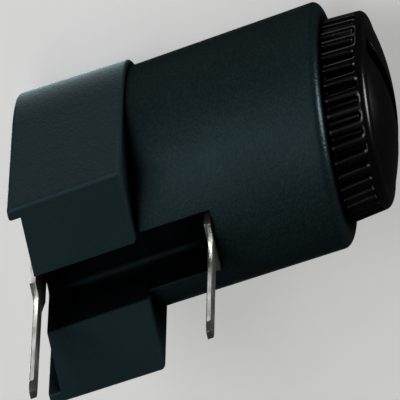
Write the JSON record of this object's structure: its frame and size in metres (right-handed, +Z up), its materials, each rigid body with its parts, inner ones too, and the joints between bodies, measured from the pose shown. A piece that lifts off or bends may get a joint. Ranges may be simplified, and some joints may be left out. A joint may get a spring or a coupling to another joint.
{
  "type": "cartridge fuse holder",
  "caption": "Board-mounted holder for a small glass cartridge fuse: round barrel on a grooved box foot, knurled bayonet cap with pull-out fuse carrier, two solder pins.",
  "frame": {"origin": "where the front solder pin's centreline crosses the seating plane of the box foot", "axes": "+X along the barrel towards the cap, +Z up and away from the circuit board, +Y to the left when looking along +X"},
  "size_m": [0.0375, 0.0162, 0.0243],
  "materials": {
    "housing_plastic": "fine spark-eroded grain, black with a faint cool tint",
    "cap_plastic": "smoother black moulding with polished rib edges",
    "insert_plastic": "plain black moulding",
    "tinned_terminal": "bright tin plate over stamped brass strip",
    "nickel_contact": "satin nickel plate",
    "rivet_brass": "turned brass",
    "spring_steel": "drawn spring wire",
    "fuse_cap_metal": "nickel-plated pressed cap",
    "fuse_glass": "clear drawn tube",
    "fuse_wire_metal": "fine tinned copper wire",
    "solder_metal": "soft solder bead",
    "gasket_rubber": "dull black rubber"
  },
  "bodies": {
    "housing": {"housing": "housing_plastic", "rear_end_plate": "insert_plastic", "rear_terminal": "tinned_terminal", "rear_rivet": "rivet_brass", "rear_spring": "spring_steel", "front_terminal": "tinned_terminal"},
    "plunger": {"rear_contact": "nickel_contact"},
    "carrier": {"fuse_carrier": "insert_plastic", "carrier_nose": "insert_plastic", "carrier_contact": "nickel_contact", "fuse_tube": "fuse_glass", "fuse_cap_front": "fuse_cap_metal", "fuse_cap_rear": "fuse_cap_metal", "fuse_wire": "fuse_wire_metal", "fuse_solder": "solder_metal"},
    "cap": {"cap": "cap_plastic", "cap_retainer": "spring_steel", "cap_washer": "spring_steel", "cap_spring": "spring_steel", "cap_gasket": "gasket_rubber"}
  },
  "joints": [
    {"name": "carrier_pull", "type": "slide", "parent": "housing", "child": "carrier", "axis": [1, 0, 0], "range_m": [0, 0.03]},
    {"name": "cap_turn", "type": "hinge", "parent": "carrier", "child": "cap", "pos_m": [0.0105, 0, 0.008], "axis": [1, 0, 0], "range_deg": [-60, 0]},
    {"name": "rear_contact_press", "type": "slide", "parent": "housing", "child": "plunger", "axis": [1, 0, 0], "range_m": [-0.001, 0], "stiffness_N_per_m": 20, "springref_m": 0.0006, "deforming": ["rear_spring"]}
  ]
}
